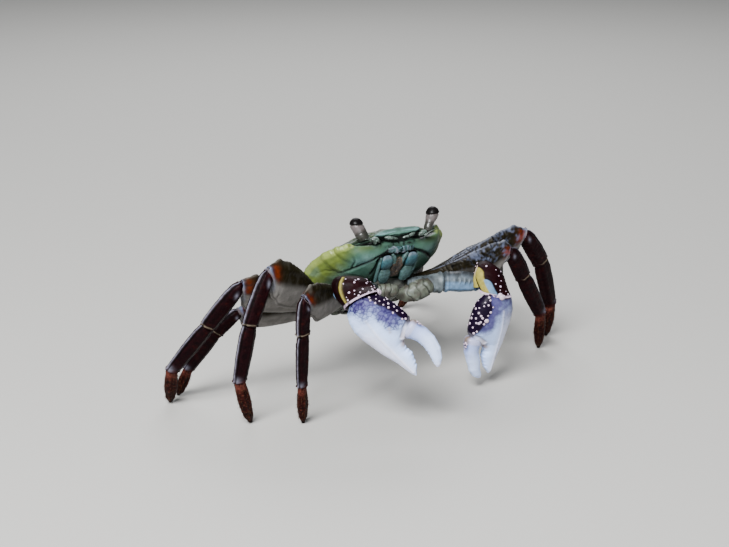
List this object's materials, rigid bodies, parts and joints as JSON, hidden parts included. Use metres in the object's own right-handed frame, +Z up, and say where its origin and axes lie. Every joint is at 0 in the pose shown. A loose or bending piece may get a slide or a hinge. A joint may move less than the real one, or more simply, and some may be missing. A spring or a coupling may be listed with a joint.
{
  "type": "purple rock shore crab",
  "caption": "Life-size purple rock shore crab standing with its front raised, stalked eyes up, two pale pincers hanging and slender dark legs spread.",
  "frame": {"origin": "bottom centre of the bounding box, on the floor the leg tips stand on", "axes": "-Y is the way the crab faces, +X is the crab's left, +Z is up"},
  "size_m": [0.1518, 0.103, 0.0638],
  "materials": {
    "carapace": "satin shell, olive green and teal with fine dark lines",
    "sternum": "satin shell, pale cream grey",
    "abdomen": "satin shell, pale cream with faint bands",
    "mouthparts": "satin shell, turquoise",
    "feelers": "thin dull shell, dark olive",
    "eyestalks": "smooth shell, grey cream",
    "corneas": "wet polished dark grey",
    "claw_merus": "satin shell, pale blue grey with a dark upper side",
    "claw_carpus": "satin shell, deep maroon with pale tubercles",
    "claw_palm": "satin shell, white to lavender with a purple upper side",
    "claw_finger": "satin shell, white",
    "leg_merus": "satin shell, olive brown with fine transverse ridges",
    "leg_carpus": "satin shell, purple black",
    "leg_propodus": "satin shell, purple black with a pale line",
    "leg_dactyl": "dull shell, orange red with dark furrows and short bristles"
  },
  "bodies": {
    "root": {"carapace": "carapace", "sternum": "sternum", "abdomen": "abdomen", "maxilliped_left": "mouthparts", "antenna_left": "feelers", "antennule_left": "feelers", "eyestalk_left": "eyestalks", "cornea_left": "corneas", "claw_merus_left": "claw_merus", "claw_carpus_left": "claw_carpus", "claw_palm_left": "claw_palm", "claw_finger_left": "claw_finger", "leg2_merus_left": "leg_merus", "leg2_carpus_left": "leg_carpus", "leg2_propodus_left": "leg_propodus", "leg2_dactyl_left": "leg_dactyl", "leg3_merus_left": "leg_merus", "leg3_carpus_left": "leg_carpus", "leg3_propodus_left": "leg_propodus", "leg3_dactyl_left": "leg_dactyl", "leg4_merus_left": "leg_merus", "leg4_carpus_left": "leg_carpus", "leg4_propodus_left": "leg_propodus", "leg4_dactyl_left": "leg_dactyl", "leg5_merus_left": "leg_merus", "leg5_carpus_left": "leg_carpus", "leg5_propodus_left": "leg_propodus", "leg5_dactyl_left": "leg_dactyl", "maxilliped_right": "mouthparts", "antenna_right": "feelers", "antennule_right": "feelers", "eyestalk_right": "eyestalks", "cornea_right": "corneas", "claw_merus_right": "claw_merus", "claw_carpus_right": "claw_carpus", "claw_palm_right": "claw_palm", "claw_finger_right": "claw_finger", "leg2_merus_right": "leg_merus", "leg2_carpus_right": "leg_carpus", "leg2_propodus_right": "leg_propodus", "leg2_dactyl_right": "leg_dactyl", "leg3_merus_right": "leg_merus", "leg3_carpus_right": "leg_carpus", "leg3_propodus_right": "leg_propodus", "leg3_dactyl_right": "leg_dactyl", "leg4_merus_right": "leg_merus", "leg4_carpus_right": "leg_carpus", "leg4_propodus_right": "leg_propodus", "leg4_dactyl_right": "leg_dactyl", "leg5_merus_right": "leg_merus", "leg5_carpus_right": "leg_carpus", "leg5_propodus_right": "leg_propodus", "leg5_dactyl_right": "leg_dactyl"}
  },
  "joints": []
}
